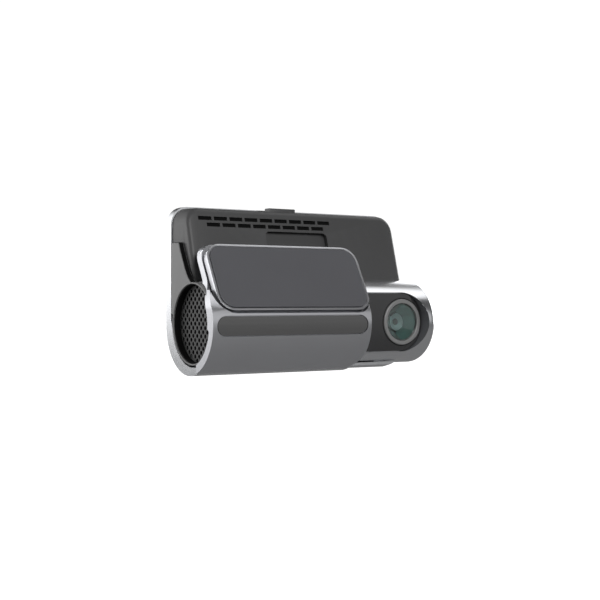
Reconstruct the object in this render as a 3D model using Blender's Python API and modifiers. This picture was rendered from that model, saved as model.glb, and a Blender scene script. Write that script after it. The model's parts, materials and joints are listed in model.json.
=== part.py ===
"""Windscreen dash camera: a wedge housing with a rear display, a speaker in one end of its round lower
body, a tilting lens barrel at the other end, and a plate on the windscreen that the camera slides off.

Units are metres and +Z is up. The windscreen and the road are towards -Y, the driver towards +Y.
Every piece is built in a frame whose X axis is the barrel's own axis, with X = 0 at the speaker end.
One empty then puts the middle of the adhesive pad's face on the world origin.
"""

from math import acos, asin, cos, degrees, hypot, pi, radians, sin, sqrt

import bmesh
import bpy
from mathutils import Matrix, Vector

MM = 0.001
GAP = 0.3 * MM  # clearance between pieces that touch, nest or slide
OVERLAP = 0.2 * MM  # of shapes that are joined or cut

# Overall sizes
BODY_LENGTH = 105.5 * MM  # rear shell along X
TOP_HEIGHT = 45.5 * MM  # rear shell's top above the barrel's axis
BODY_RADIUS = 19.6 * MM  # round lower body
BACK_STEP = 1.8 * MM  # back face behind the round body
FRAME_DEPTH = 3.9 * MM  # rear shell's frame, front to back
CORNER_RADIUS = 7.0 * MM
CRADLE_WALL = 1.0 * MM  # rear shell under the barrel
FOOT_CORNER = 28.0 * MM  # rear shell's lower corner behind the barrel
FOOT_LEAN = 20.0  # degrees at which that corner leaves the cradle's bottom

# Rear shell and display
SHELL_WALL = 3.1 * MM
SHELL_DROP = 1.0 * MM  # centre of the shell's round below the axis
SEAM_Y = -6.4 * MM  # bottom seam between rear shell and front cover
GLASS_MARGIN = 3.0 * MM
GLASS_FOOT = 1.5 * MM
GLASS_THICK = 0.8 * MM
GLASS_SUNK = 0.2 * MM
GLASS_CORNER = 4.5 * MM
PANEL_MARGIN = 7.0 * MM  # from the glass's edge to the display panel's
PANEL_RISE = 1.5 * MM
PANEL_CORNER = 1.0 * MM

# Wedge housing
HOUSING_WALL = 1.8 * MM
HOUSING_INSET = 0.7 * MM
HOUSING_DRAFT = 1.8 * MM  # each side leans in by this much at the front
HOUSING_EASE = 2.0 * MM  # rounding of the front edges
HOUSING_FOOT = 13.5 * MM
HOUSING_HEEL = 2.0 * MM  # foot of the housing's side behind the barrel
FRONT_TOP_Y = 11.0 * MM  # front face at the housing's top
FRONT_LOW_Y = 3.4 * MM  # front face at FRONT_LOW_Z
FRONT_LOW_Z = 16.7 * MM
VENT_LENGTH = 5.9 * MM
VENT_HEIGHT = 1.5 * MM
VENT_PITCH = 7.0 * MM
VENT_START = 7.8 * MM
VENT_DROP = 4.7 * MM  # upper row below the housing's top
VENT_ROW_PITCH = 2.5 * MM
VENT_COUNT = 9
DOOR_LEFT = 37.6 * MM  # opening of the recessed service panel
DOOR_RIGHT = 67.4 * MM
DOOR_LOW = 20.0 * MM
DOOR_TOP = 36.5 * MM
DOOR_CORNER = 2.0 * MM
DOOR_FLANGE = 1.0 * MM  # panel beyond its opening, behind the wall
DOOR_THICK = 1.0 * MM

# Speaker end
RIM_RADIUS = 15.1 * MM
RIM_WALL = 0.6 * MM
RIM_PROUD = 0.4 * MM
CAP_THICK = 2.4 * MM
CAP_FOOT = (4.0 * MM, 3.4 * MM)
CAP_EDGE = (  # cheek's front edge from its top down to the rim: Y and Z
    (11.7 * MM, 31.0 * MM),
    (10.4 * MM, 27.9 * MM),
    (8.6 * MM, 24.6 * MM),
    (6.7 * MM, 21.0 * MM),
    (4.6 * MM, 17.9 * MM),
    (1.7 * MM, 15.4 * MM),
)
MESH_DEPTH = 2.7 * MM
MESH_THICK = 0.6 * MM
SPEAKER_RADIUS = 14.2 * MM
SPEAKER_LENGTH = 10.5 * MM
MAGNET_RADIUS = 8.0 * MM

# Front cover
COVER_WALL = 3.0 * MM
COVER_PROUD = 2.2 * MM  # cover's speaker end beyond the rear shell
BARREL_ROOM = 35.9 * MM  # from the cover's end to the rear shell's end
FLOOR_THICK = 1.8 * MM
FLOOR_END = 84.0  # degrees round the axis, where the cover's top stops at the housing
LIP_THICK = 1.5 * MM  # lip in front of the speaker's rim
BLEND_TOP = 15.4 * MM  # where the cover's ends run out into the tongue
FLARE_FOOT = 6 * MM  # the speaker end flares out between these heights
FLARE_TOP = 17 * MM
STRIP_HEIGHT = 7.4 * MM
STRIP_CENTRE = -0.6 * MM
STRIP_DEPTH = 0.6 * MM
STRIP_ENDS = 1.9 * MM  # from the cover's speaker end
STRIP_STOP = 1.8 * MM  # from the cover's barrel end

# Windscreen mount
PLATE_LEAN = radians(28)
PLATE_FOOT = 5.4 * MM  # lower edge of the plate above the axis
PLATE_HEIGHT = 28.2 * MM  # along the slope
PLATE_START = 1.7 * MM
PLATE_OVERHANG = 1.4 * MM  # beyond the cover's barrel end
PLATE_CORNER = 6.5 * MM
PLATE_THICK = 2.7 * MM
PLATE_EDGE = 0.7 * MM
PAD_THICK = 0.6 * MM
PAD_PROUD = 0.3 * MM
PAD_INSET = 0.9 * MM
GROOVE = 1.3 * MM  # between plate and tongue
TONGUE_THICK = 3.1 * MM
TONGUE_RISE = 1.9 * MM  # beyond the plate's height along the slope
HORN_ROOM = 0.8 * MM  # plate's pocket beyond the cover's barrel end
HORN_CORNER = 6.3 * MM
RAIL_WIDTH = 14.0 * MM
RAIL_NECK = 11.0 * MM
RAIL_DEPTH = 1.6 * MM  # of the rail inside the tongue
RAIL_START = 3.0 * MM
RAIL_LENGTH = 22.0 * MM

# Lens barrel
BARREL_STEP = 2.4 * MM  # barrel's radius below the body's
BARREL_WALL = 2.0 * MM
BARREL_FILLET = 2.6 * MM
BARREL_CLEAR = 0.4 * MM
BARREL_SHORT = 0.5 * MM  # barrel's end inside the rear shell's end
FLAT_Y = 12.2 * MM  # flat of the barrel in front of its axis
LENS_INSET = 15.0 * MM  # lens centre from the rear shell's end
WINDOW_THICK = 1.5 * MM
WINDOW_REACH = 10.7 * MM  # window's round end beyond the lens centre
RING_RADIUS = 9.4 * MM
RING_WALL = 1.8 * MM
RING_PROUD = 0.7 * MM
COVER_GLASS_THICK = 0.6 * MM
ELEMENT_RADIUS = 3.6 * MM
ELEMENT_DEPTH = 8.8 * MM  # in front of the axis
LENS_TUBE_WALL = 0.6 * MM
HOLDER_SIZE = 13.0 * MM
SENSOR_SIZE = 5.0 * MM
SHAFT_RADIUS = 4.0 * MM
SHAFT_BORE = 2.4 * MM
SHAFT_LENGTH = 12.0 * MM
HUB_THICK = 2.0 * MM
BULKHEAD_THICK = 3.0 * MM
BULKHEAD_RADIUS = 11.2 * MM
WASHER_RADIUS = 7.5 * MM
WASHER_THICK = 1.0 * MM

# Electronics
BOARD_THICK = 1.1 * MM
BOARD_FRONT = 12.8 * MM
BOARD_MARGIN = 5.0 * MM
BOARD_FOOT = 19.0 * MM
BOARD_DROP = 2.2 * MM  # below the top wall
SCREW_RADIUS = 0.9 * MM
SCREW_HEAD = 1.9 * MM
SCREW_HEAD_THICK = 1.2 * MM
SCREW_LENGTH = 3.0 * MM
BOSS_RADIUS = 2.4 * MM
BOSS_EDGE = 5.0 * MM  # from the board's edge
BUTTON_WIDTH = 12.8 * MM
BUTTON_CENTRE = 48.2 * MM
BUTTON_FRONT = 12.6 * MM
BUTTON_DEPTH = 3.4 * MM
BUTTON_PROUD = 1.4 * MM
BUTTON_TRAVEL = 0.5 * MM
PORT_HEIGHT = 9.0 * MM
PORT_THICK = 3.1 * MM
PORT_WALL = 0.35 * MM
PORT_LENGTH = 7.4 * MM
PORT_FOOT = 20.2 * MM
CARD_WIDTH = 11.0 * MM
CARD_LENGTH = 15.0 * MM
CARD_THICK = 0.7 * MM
CARD_FOOT = 26.0 * MM
CARD_SUNK = -0.3 * MM
CARD_GRIP = 4 * MM
SHIELD_LENGTH = 24 * MM
SHIELD_HEIGHT = 13 * MM
SHIELD_THICK = 1.6 * MM
SHIELD_FOOT = 2 * MM
CHIP_MARGIN = 1 * MM
SINK_LENGTH = 24 * MM
SINK_HEIGHT = 10 * MM
SINK_BASE = 0.8 * MM
FIN_COUNT = 7
FIN_PITCH = 3.8 * MM
FIN_THICK = 0.9 * MM
FIN_MARGIN = 0.2 * MM
ANTENNA_INSET = 12 * MM
MIC_OFFSET = 14 * MM
MIC_LENGTH = 4 * MM
MIC_HEIGHT = 3 * MM
MIC_THICK = 1.2 * MM
MIC_DROP = 2 * MM
CAPACITOR_GAP = 4 * MM
CAPACITOR_Y = 4.5 * MM
CAPACITOR_HEIGHTS = (-8.2 * MM, 1.2 * MM)
BUTTON_EDGE = 0.35 * MM
FLANGE_REACH = 0.8 * MM
FLANGE_THICK = 0.4 * MM
SWITCH_LENGTH = 6 * MM
SWITCH_DEPTH = 2.6 * MM
SWITCH_HEIGHT = 2.4 * MM
PLUNGER_RADIUS = 1 * MM
PLUNGER_PROUD = 0.6 * MM
PLUNGER_ROOT = 0.4 * MM
PORT_CORNER = 1.1 * MM
PORT_BACK_WALL = 1 * MM
PORT_TONGUE_THICK = 0.7 * MM
TONGUE_MARGIN = 1.2 * MM
TONGUE_STOP = 1.5 * MM
RING_EDGE = 0.3 * MM
RING_LIP = 0.2 * MM
LENS_GLASS_SUNK = 0.5 * MM
HOOD_WALL = 0.4 * MM
HOOD_STEP = 1.2 * MM
ELEMENT_CROWN = 0.9 * MM
ELEMENT_EDGE = 1.4 * MM
ELEMENT_SEAT = 1.6 * MM
TUBE_BACK = -2.6 * MM
HOLDER_FRONT = -2 * MM
SENSOR_ROOM = 1.4 * MM
SENSOR_THICK = 0.7 * MM
SENSOR_BOARD_LENGTH = 16 * MM
SENSOR_BOARD_HEIGHT = 12 * MM
CLIP_MOUTH = 2.4 * MM
BULKHEAD_FOOT = 10 * MM
SOCKET_WALL = 0.45 * MM
CAPACITOR_RADIUS = 4.0 * MM
CAPACITOR_LENGTH = 20.0 * MM
ANTENNA_SIZE = 12.0 * MM
ANTENNA_THICK = 2.5 * MM

ROUND = 64  # sides of a large round piece
EASE_STEPS = 4
SMALL_ROUND = 24
FILL_SCALE = 1000.0  # Blender's curve fill merges points nearer than 0.03 mm, so an outline is filled larger

BACK_Y = BODY_RADIUS + BACK_STEP
FRAME_FRONT = BACK_Y - FRAME_DEPTH
HOUSING_TOP = TOP_HEIGHT - HOUSING_INSET
HOUSING_BACK = FRAME_FRONT - GAP
FRONT_SLOPE = (FRONT_TOP_Y - FRONT_LOW_Y) / (HOUSING_TOP - FRONT_LOW_Z)
COVER_END = BODY_LENGTH - BARREL_ROOM
DOOR_SUNK = HOUSING_WALL + GAP
RIM_OUTER = RIM_RADIUS + RIM_WALL
BARREL_RADIUS = BODY_RADIUS - BARREL_STEP
LENS_X = BODY_LENGTH - LENS_INSET
BARREL_END = BODY_LENGTH - BARREL_SHORT
BOARD_BACK = BOARD_FRONT + BOARD_THICK
BOARD_TOP = HOUSING_TOP - HOUSING_WALL - BOARD_DROP
SPEAKER_START = MESH_DEPTH + MESH_THICK + GAP
SPEAKER_END = SPEAKER_START + SPEAKER_LENGTH
SLOPE_UP = Vector((0, sin(PLATE_LEAN), cos(PLATE_LEAN)))
PLATE_OUT = Vector((0, -cos(PLATE_LEAN), sin(PLATE_LEAN)))
PLATE_ORIGIN = Vector((0, -sqrt(BODY_RADIUS**2 - PLATE_FOOT**2), PLATE_FOOT))
PLATE_END = COVER_END + PLATE_OVERHANG
BARREL_START = PLATE_END + GAP

# An outline's (x, y) becomes these world directions, and it is extruded along the third one.
ALONG_X = Matrix(((0, 0, 1, 0), (1, 0, 0, 0), (0, 1, 0, 0), (0, 0, 0, 1)))
FORWARDS = Matrix(((1, 0, 0, 0), (0, 0, -1, 0), (0, 1, 0, 0), (0, 0, 0, 1)))
ON_PLATE = Matrix.Translation(PLATE_ORIGIN) @ Matrix(
    (
        (1, 0, 0, 0),
        (0, SLOPE_UP.y, PLATE_OUT.y, 0),
        (0, SLOPE_UP.z, PLATE_OUT.z, 0),
        (0, 0, 0, 1),
    )
)

for old in list(bpy.data.objects):
    bpy.data.objects.remove(old)
PARTS = bpy.data.collections.new("dash_camera")
CUTTERS = bpy.data.collections.new("cutters")
bpy.context.scene.collection.children.link(PARTS)
bpy.context.scene.collection.children.link(CUTTERS)


def empty(name, location=(0, 0, 0), parent=None):
    obj = bpy.data.objects.new(name, None)
    obj.location = location
    obj.parent = parent
    PARTS.objects.link(obj)
    return obj


PAD_CENTRE = (
    PLATE_ORIGIN
    + SLOPE_UP * (PLATE_HEIGHT / 2)
    + Vector(((PLATE_START + PLATE_END) / 2, 0, 0))
)
DATUM = empty("pad_centre_at_origin", -PAD_CENTRE)
BARREL_AXIS = empty("barrel_axis", parent=DATUM)
BUTTON_GUIDE = empty("button_guide", (BUTTON_CENTRE, BUTTON_FRONT, HOUSING_TOP), DATUM)
CARD_GUIDE = empty("card_guide", (BODY_LENGTH, BOARD_BACK, CARD_FOOT), DATUM)


def finish(name, colour, roughness, metallic=0.0, alpha=1.0):
    """A Principled material."""
    material = bpy.data.materials.new(name)
    material.use_nodes = True
    shader = material.node_tree.nodes["Principled BSDF"]
    shader.inputs["Base Color"].default_value = (*colour, 1)
    shader.inputs["Roughness"].default_value = roughness
    shader.inputs["Metallic"].default_value = metallic
    shader.inputs["Alpha"].default_value = alpha
    return material


SILVER = finish("satin_silver", (0.62, 0.63, 0.65), 0.32, 0.9)
GREY = finish("grey_anodised", (0.20, 0.20, 0.215), 0.38, 0.8)
BLACK = finish("black_plastic", (0.055, 0.055, 0.057), 0.55)
CHEEK = finish("grey_plastic", (0.23, 0.23, 0.23), 0.5)
GRILLE = finish("speaker_mesh", (0.07, 0.07, 0.07), 0.5, 0.5)
STRIP = finish("dark_strip", (0.085, 0.085, 0.087), 0.4)
PAD = finish("adhesive_pad", (0.10, 0.10, 0.107), 0.6)
GLOSS = finish("gloss_black", (0.03, 0.03, 0.03), 0.12)
GLASS = finish("clear_glass", (0.8, 0.9, 0.88), 0.03, alpha=0.35)
SCREEN = finish("display", (0.01, 0.012, 0.015), 0.15)
RING = finish("ring_grey", (0.17, 0.165, 0.16), 0.45, 0.3)
BOARD = finish("circuit_board", (0.02, 0.10, 0.05), 0.5)
STEEL = finish("steel", (0.55, 0.55, 0.56), 0.35, 1.0)
DARK = finish("dark_plastic", (0.02, 0.02, 0.02), 0.6)
CERAMIC = finish("ceramic", (0.55, 0.48, 0.36), 0.6)
SLEEVE = finish("capacitor_sleeve", (0.03, 0.05, 0.12), 0.45)


def arc(centre, radius, start, stop, steps):
    """Points on a circle from one angle to another, in degrees."""
    angles = [radians(start + (stop - start) * i / steps) for i in range(steps + 1)]
    return [(centre[0] + radius * cos(a), centre[1] + radius * sin(a)) for a in angles]


def rounded(x0, y0, x1, y1, radii, steps=6):
    """Rectangle with a radius for each corner: low left, low right, top right, top left."""
    corners = ((x0, y0, 1, 1, 180), (x1, y0, -1, 1, 270), (x1, y1, -1, -1, 0), (x0, y1, 1, -1, 90))
    points = []
    for (x, y, right, up, start), radius in zip(corners, radii):
        if radius:
            centre = (x + right * radius, y + up * radius)
            points += arc(centre, radius, start, start + 90, steps)
        else:
            points.append((x, y))
    return points


def cleaned(mesh, flat_faces=True):
    """The mesh with its caps joined and its faces pointing out; twisted sides are split into triangles."""
    bm = bmesh.new()
    bm.from_mesh(mesh)
    bmesh.ops.remove_doubles(bm, verts=bm.verts, dist=1e-6)
    if not flat_faces:
        bmesh.ops.triangulate(bm, faces=bm.faces)
    bmesh.ops.recalc_face_normals(bm, faces=bm.faces)
    bm.to_mesh(mesh)
    bm.free()
    return mesh


def converted(guide):
    """The mesh that an object makes, and the object is removed."""
    PARTS.objects.link(guide)
    graph = bpy.context.evaluated_depsgraph_get()
    mesh = bpy.data.meshes.new_from_object(guide.evaluated_get(graph))
    bpy.data.objects.remove(guide)
    return mesh


def prism(outline, depth, matrix=ALONG_X, start=0.0):
    """An outline extruded by depth, from start, along the matrix's third direction."""
    curve = bpy.data.curves.new("outline", "CURVE")
    curve.dimensions = "2D"
    curve.fill_mode = "BOTH"
    curve.extrude = depth * FILL_SCALE / 2
    spline = curve.splines.new("POLY")
    spline.points.add(len(outline) - 1)
    for point, (x, y) in zip(spline.points, outline):
        point.co = (x * FILL_SCALE, y * FILL_SCALE, 0, 1)
    spline.use_cyclic_u = True
    mesh = converted(bpy.data.objects.new("outline", curve))
    mesh.transform(Matrix.Scale(1 / FILL_SCALE, 4))
    mesh.transform(matrix @ Matrix.Translation((0, 0, start + depth / 2)))
    return cleaned(mesh)


def turned(profile, matrix=ALONG_X, sides=ROUND):
    """A closed profile of (radius, distance along the axis) turned round the matrix's third direction."""
    mesh = bpy.data.meshes.new("profile")
    bm = bmesh.new()
    verts = [bm.verts.new((radius, 0, along)) for radius, along in profile]
    for one, two in zip(verts, verts[1:] + verts[:1]):
        if one.co.x > 0 or two.co.x > 0:
            bm.edges.new((one, two))
    bm.to_mesh(mesh)
    bm.free()
    guide = bpy.data.objects.new("profile", mesh)
    screw = guide.modifiers.new("turn", "SCREW")
    screw.steps = screw.render_steps = sides
    screw.use_merge_vertices = True
    screw.merge_threshold = 1e-5
    mesh = converted(guide)
    mesh.transform(matrix)
    return cleaned(mesh)


def disc(radius, start, stop, matrix=ALONG_X, sides=ROUND, bore=0.0):
    return turned([(radius, stop), (radius, start), (bore, start), (bore, stop)], matrix, sides)


def block(low, high):
    """A box between two corners."""
    bm = bmesh.new()
    bmesh.ops.create_cube(bm, size=1)
    size = Vector(high) - Vector(low)
    bmesh.ops.scale(bm, verts=bm.verts, vec=size)
    bmesh.ops.translate(bm, verts=bm.verts, vec=Vector(low) + size / 2)
    mesh = bpy.data.meshes.new("block")
    bm.to_mesh(mesh)
    bm.free()
    return mesh


def piece(name, mesh, material, parent=None):
    """A named sub-part."""
    obj = bpy.data.objects.new(name, mesh)
    mesh.name = name
    mesh.materials.clear()
    mesh.materials.append(material)
    mesh.shade_smooth()
    mesh.set_sharp_from_angle(angle=radians(35))
    obj.parent = parent or DATUM
    obj.matrix_parent_inverse = Matrix.Translation(-obj.parent.location) if parent else Matrix()
    PARTS.objects.link(obj)
    return obj


def tool(name, mesh):
    """A cutter, or a shape that is joined to a piece."""
    obj = bpy.data.objects.new(name, mesh)
    obj.hide_render = True
    obj.display_type = "WIRE"
    obj.parent = DATUM
    CUTTERS.objects.link(obj)
    return obj


def combine(obj, operation, name, mesh):
    """A Boolean with a shape of its own. Returns that shape."""
    other = tool(name, mesh)
    modifier = obj.modifiers.new(name, "BOOLEAN")
    modifier.operation = operation
    modifier.object = other
    if obj.parent != DATUM:
        other.parent = obj.parent
        other.matrix_parent_inverse = Matrix.Translation(-obj.parent.location)
    return other


def cut(obj, name, mesh):
    return combine(obj, "DIFFERENCE", name, mesh)


def join(obj, name, mesh):
    return combine(obj, "UNION", name, mesh)


def keep(obj, name, mesh):
    return combine(obj, "INTERSECT", name, mesh)


def soften(obj, width, segments=2, angle=40):
    """Rounded edges."""
    modifier = obj.modifiers.new("soften", "BEVEL")
    modifier.width = width
    modifier.segments = segments
    modifier.limit_method = "ANGLE"
    modifier.angle_limit = radians(angle)


def front_y(z, depth=0.0):
    """The housing's leaning front face at a height, or a face that far behind it."""
    return FRONT_LOW_Y + FRONT_SLOPE * (z - FRONT_LOW_Z) + depth * hypot(1, FRONT_SLOPE)


def circle_angle(y, radius):
    """Degrees round the axis, below it, at which a circle is at a given Y."""
    return -degrees(acos(y / radius))


# Rear shell: a frame round the display whose foot curls under the speaker and the barrel
def shell_profile():
    radius = BODY_RADIUS - 0.8 * MM
    centre = (BACK_Y - radius, -SHELL_DROP)
    inner = BODY_RADIUS - SHELL_WALL
    outside = arc(centre, radius, 0, circle_angle(SEAM_Y - centre[0], radius), 24)
    inside = arc((0, 0), inner, circle_angle(SEAM_Y, inner), -8, 20)
    return [(BACK_Y, TOP_HEIGHT), *outside, *inside, (FRAME_FRONT, SHELL_DROP), (FRAME_FRONT, TOP_HEIGHT)]


def shell_outline():
    """The shell from the front: its foot steps up under the barrel and ends in a large corner."""
    below = -BODY_RADIUS - SHELL_DROP
    cradle = -BARREL_RADIUS - BARREL_CLEAR - CRADLE_WALL
    centre = (BODY_LENGTH - FOOT_CORNER, cradle + FOOT_CORNER * cos(radians(FOOT_LEAN)))
    top = rounded(0, 0, BODY_LENGTH, TOP_HEIGHT, [0, 0, CORNER_RADIUS, CORNER_RADIUS], 8)[2:]
    foot = arc(centre, FOOT_CORNER, FOOT_LEAN - 90, 0, 8)
    return [(0, below), (COVER_END, below), (COVER_END, cradle), *foot, *top]


def glass_outline(inset):
    low = GLASS_MARGIN + inset
    high = BODY_LENGTH - GLASS_MARGIN - inset
    top = TOP_HEIGHT - GLASS_MARGIN - inset
    return rounded(low, GLASS_FOOT + inset, high, top, [GLASS_CORNER - inset] * 4)


def panel_outline(inset):
    side = GLASS_MARGIN + PANEL_MARGIN + inset
    top = TOP_HEIGHT - GLASS_MARGIN - PANEL_RISE - inset
    low = GLASS_FOOT + PANEL_RISE + inset
    return rounded(side, low, BODY_LENGTH - side, top, [PANEL_CORNER] * 4, 2)


def make_rear_shell():
    shell = piece("rear_shell", prism(shell_profile(), BODY_LENGTH), SILVER)
    keep(shell, "shell_outline", prism(shell_outline(), 3 * BODY_RADIUS, FORWARDS, -1.5 * BODY_RADIUS))
    cut(shell, "barrel_room", disc(BARREL_RADIUS + BARREL_CLEAR, COVER_END, BODY_LENGTH + MM))
    opening = prism(panel_outline(0), 2 * FRAME_DEPTH, FORWARDS, -BACK_Y - FRAME_DEPTH / 2)
    cut(shell, "display_opening", opening)
    rebate = GLASS_THICK + GLASS_SUNK + GAP
    cut(shell, "glass_rebate", prism(glass_outline(0), 2 * rebate, FORWARDS, -BACK_Y - rebate))


def make_display():
    glass_back = BACK_Y - GLASS_SUNK - GLASS_THICK
    glass = prism(glass_outline(GAP), GLASS_THICK, FORWARDS, -BACK_Y + GLASS_SUNK)
    piece("screen_glass", glass, SCREEN)
    front = FRAME_FRONT + GAP
    thick = glass_back - GAP - front
    piece("display_panel", prism(panel_outline(GAP), thick, FORWARDS, -front - thick), DARK)


# Wedge housing
def lofted(loops):
    """A closed mesh through loops of points, each with as many points as the last."""
    bm = bmesh.new()
    rings = [[bm.verts.new(point) for point in loop] for loop in loops]
    for one, two in zip(rings, rings[1:]):
        for i in range(len(one)):
            bm.faces.new((one[i - 1], one[i], two[i], two[i - 1]))
    bm.faces.new(rings[0])
    bm.faces.new(rings[-1])
    mesh = bpy.data.meshes.new("loft")
    bm.to_mesh(mesh)
    bm.free()
    return cleaned(mesh, flat_faces=False)


def wedge(inset, foot, front_depth, back, ease=0.0):
    """The housing's outline from its back, leaning in at the sides, up to the front face's eased edges."""
    side = HOUSING_INSET + inset
    half = BODY_LENGTH / 2
    lean = 1 - HOUSING_DRAFT / (half - side)

    def outline(shrink):
        corner = CORNER_RADIUS - side - shrink
        left, right = side + shrink, BODY_LENGTH - side - shrink
        return rounded(left, foot, right, HOUSING_TOP - inset - shrink, [0, 0, corner, corner], 5)

    loops = [[(x, back, z) for x, z in outline(0)]]
    turns = [radians(90 * i / EASE_STEPS) for i in range(EASE_STEPS + 1)] if ease else [0.0]
    for turn in turns:
        depth = front_depth + ease * (1 - sin(turn))
        points = outline(ease * (1 - cos(turn)))
        loops.append([(half + (x - half) * lean, front_y(z, depth), z) for x, z in points])
    return lofted(loops)


def boss_places():
    left = BOARD_MARGIN + BOSS_EDGE
    right = BODY_LENGTH - left - CARD_LENGTH  # clear of the card's socket and the power inlet
    heights = (BOARD_FOOT + BOSS_RADIUS, BOARD_TOP - BOSS_RADIUS)
    return [(x, z) for x in (left, right) for z in heights]


def cap_outline(grow=0.0):
    """The speaker end's cheek, seen from the end: Y and Z."""
    back = HOUSING_BACK + grow
    top = CAP_EDGE[0][1] + grow
    edge = [(y - grow, z) for y, z in CAP_EDGE[1:]]
    return [(back, CAP_FOOT[1]), (back, top), (CAP_EDGE[0][0] - grow, top), *edge, CAP_FOOT]


def door_outline(grow):
    corners = [DOOR_CORNER + grow] * 4
    return rounded(DOOR_LEFT - grow, DOOR_LOW - grow, DOOR_RIGHT + grow, DOOR_TOP + grow, corners, 4)


def make_housing():
    housing = piece("main_housing", wedge(0, HOUSING_HEEL, 0, HOUSING_BACK, HOUSING_EASE), BLACK)
    hollow = wedge(HOUSING_WALL, HOUSING_HEEL - 3 * MM, HOUSING_WALL, HOUSING_BACK + MM)
    cut(housing, "housing_hollow", hollow)
    room = block((-MM, -BODY_RADIUS, -MM), (COVER_END, 2 * BODY_RADIUS, HOUSING_FOOT))
    cut(housing, "lower_body_room", room)
    for i, (x, z) in enumerate(boss_places()):
        start = -BOARD_FRONT + GAP
        length = -start - front_y(z, HOUSING_WALL / 2)
        at = Matrix.Translation((x, 0, z)) @ FORWARDS
        join(housing, f"boss_{i}", disc(BOSS_RADIUS, start, start + length, at, SMALL_ROUND))
        hole = SCREW_LENGTH + 2 * GAP
        drill = disc(SCREW_RADIUS + GAP / 2, -BOARD_BACK - MM, -BOARD_BACK + hole, at, SMALL_ROUND)
        cut(housing, f"boss_hole_{i}", drill)
    cut(housing, "barrel_hollow", disc(BARREL_RADIUS + BARREL_CLEAR, COVER_END - MM, BODY_LENGTH + MM))
    cut(housing, "rim_hollow", disc(RIM_OUTER + GAP, -MM, SPEAKER_START - GAP))
    cut(housing, "speaker_hollow", disc(SPEAKER_RADIUS + 2 * GAP, 0, SPEAKER_END + MM))
    cut(housing, "cap_hollow", prism(cap_outline(GAP), CAP_THICK + GAP + MM, ALONG_X, -MM))
    through = prism(door_outline(0), 2 * BODY_RADIUS, FORWARDS, -BOARD_FRONT)
    cut(housing, "panel_opening", through)
    vents = tool("vents", block((0, 0, 0), (VENT_LENGTH, 2 * HOUSING_WALL + 2 * MM, VENT_HEIGHT)))
    vents.location = (VENT_START, front_y(HOUSING_TOP - VENT_DROP) - MM, HOUSING_TOP - VENT_DROP)
    across = vents.modifiers.new("row", "ARRAY")
    across.count = VENT_COUNT
    across.use_relative_offset = False
    across.use_constant_offset = True
    across.constant_offset_displace = (VENT_PITCH, 0, 0)
    second = tool("lower_vents", vents.data.copy())
    second.location = vents.location + Vector(
        (VENT_PITCH / 2, -FRONT_SLOPE * VENT_ROW_PITCH, -VENT_ROW_PITCH)
    )
    lower = second.modifiers.new("row", "ARRAY")
    lower.count = VENT_COUNT - 1
    lower.use_relative_offset = False
    lower.use_constant_offset = True
    lower.constant_offset_displace = (VENT_PITCH, 0, 0)
    for row in (vents, second):
        slots = housing.modifiers.new(row.name, "BOOLEAN")
        slots.operation = "DIFFERENCE"
        slots.object = row
    left = BUTTON_CENTRE - BUTTON_WIDTH / 2 - GAP
    low = (left, BUTTON_FRONT - GAP, HOUSING_TOP - 2 * HOUSING_WALL)
    high = (left + BUTTON_WIDTH + 2 * GAP, BUTTON_FRONT + BUTTON_DEPTH + GAP, HOUSING_TOP + MM)
    cut(housing, "button_hole", block(low, high))
    wall = BODY_LENGTH - HOUSING_INSET - HOUSING_DRAFT - HOUSING_WALL - MM
    low = (wall, BOARD_FRONT - GAP - PORT_THICK - GAP, PORT_FOOT - GAP)
    cut(housing, "port_hole", block(low, (BODY_LENGTH + MM, BOARD_FRONT, PORT_FOOT + PORT_HEIGHT + GAP)))
    low = (wall, card_front() - GAP, CARD_FOOT - GAP)
    high = (BODY_LENGTH + MM, card_front() + CARD_THICK + GAP, CARD_FOOT + CARD_WIDTH + GAP)
    cut(housing, "card_hole", block(low, high))


def make_service_panel():
    mesh = prism(door_outline(DOOR_FLANGE), DOOR_THICK, FORWARDS)
    for vert in mesh.vertices:
        behind = DOOR_SUNK if vert.co.y < -DOOR_THICK / 2 else DOOR_SUNK + DOOR_THICK
        vert.co.y = front_y(vert.co.z, behind)
    piece("service_panel", mesh, BLACK)


# Speaker end
def make_speaker_end():
    outline = cap_outline()
    cap = piece("left_end_cap", prism(outline, CAP_THICK), CHEEK)
    join(cap, "rim", disc(RIM_OUTER, -RIM_PROUD, MESH_DEPTH - GAP))
    cut(cap, "rim_bore", disc(RIM_RADIUS, -2 * MM, MESH_DEPTH + MM))
    mesh_radius = RIM_OUTER - GAP
    piece("speaker_mesh", disc(mesh_radius, MESH_DEPTH, MESH_DEPTH + MESH_THICK), GRILLE)
    back = SPEAKER_START + 0.6 * SPEAKER_LENGTH
    basket = [
        (SPEAKER_RADIUS, SPEAKER_START),
        (SPEAKER_RADIUS, SPEAKER_START + 1.2 * MM),
        (SPEAKER_RADIUS - 2 * MM, SPEAKER_START + 1.2 * MM),
        (MAGNET_RADIUS + MM, back),
        (2 * MM, back),
        (2 * MM, back - 0.8 * MM),
        (MAGNET_RADIUS, back - 0.8 * MM),
        (SPEAKER_RADIUS - 3 * MM, SPEAKER_START + 0.4 * MM),
        (SPEAKER_RADIUS - 3 * MM, SPEAKER_START),
    ]
    piece("speaker_basket", turned(basket, sides=48), DARK)
    lip = SPEAKER_RADIUS - 3 * MM - GAP
    cone = [
        (lip, SPEAKER_START),
        (lip, SPEAKER_START + 0.4 * MM),
        (4 * MM, SPEAKER_START + 3.2 * MM),
        (0, SPEAKER_START + 2.4 * MM),
        (0, SPEAKER_START + 2.0 * MM),
        (4 * MM, SPEAKER_START + 2.7 * MM),
    ]
    piece("speaker_cone", turned(cone, sides=48), DARK)
    piece("speaker_magnet", disc(MAGNET_RADIUS, back + GAP, SPEAKER_END, sides=48), STEEL)


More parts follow.
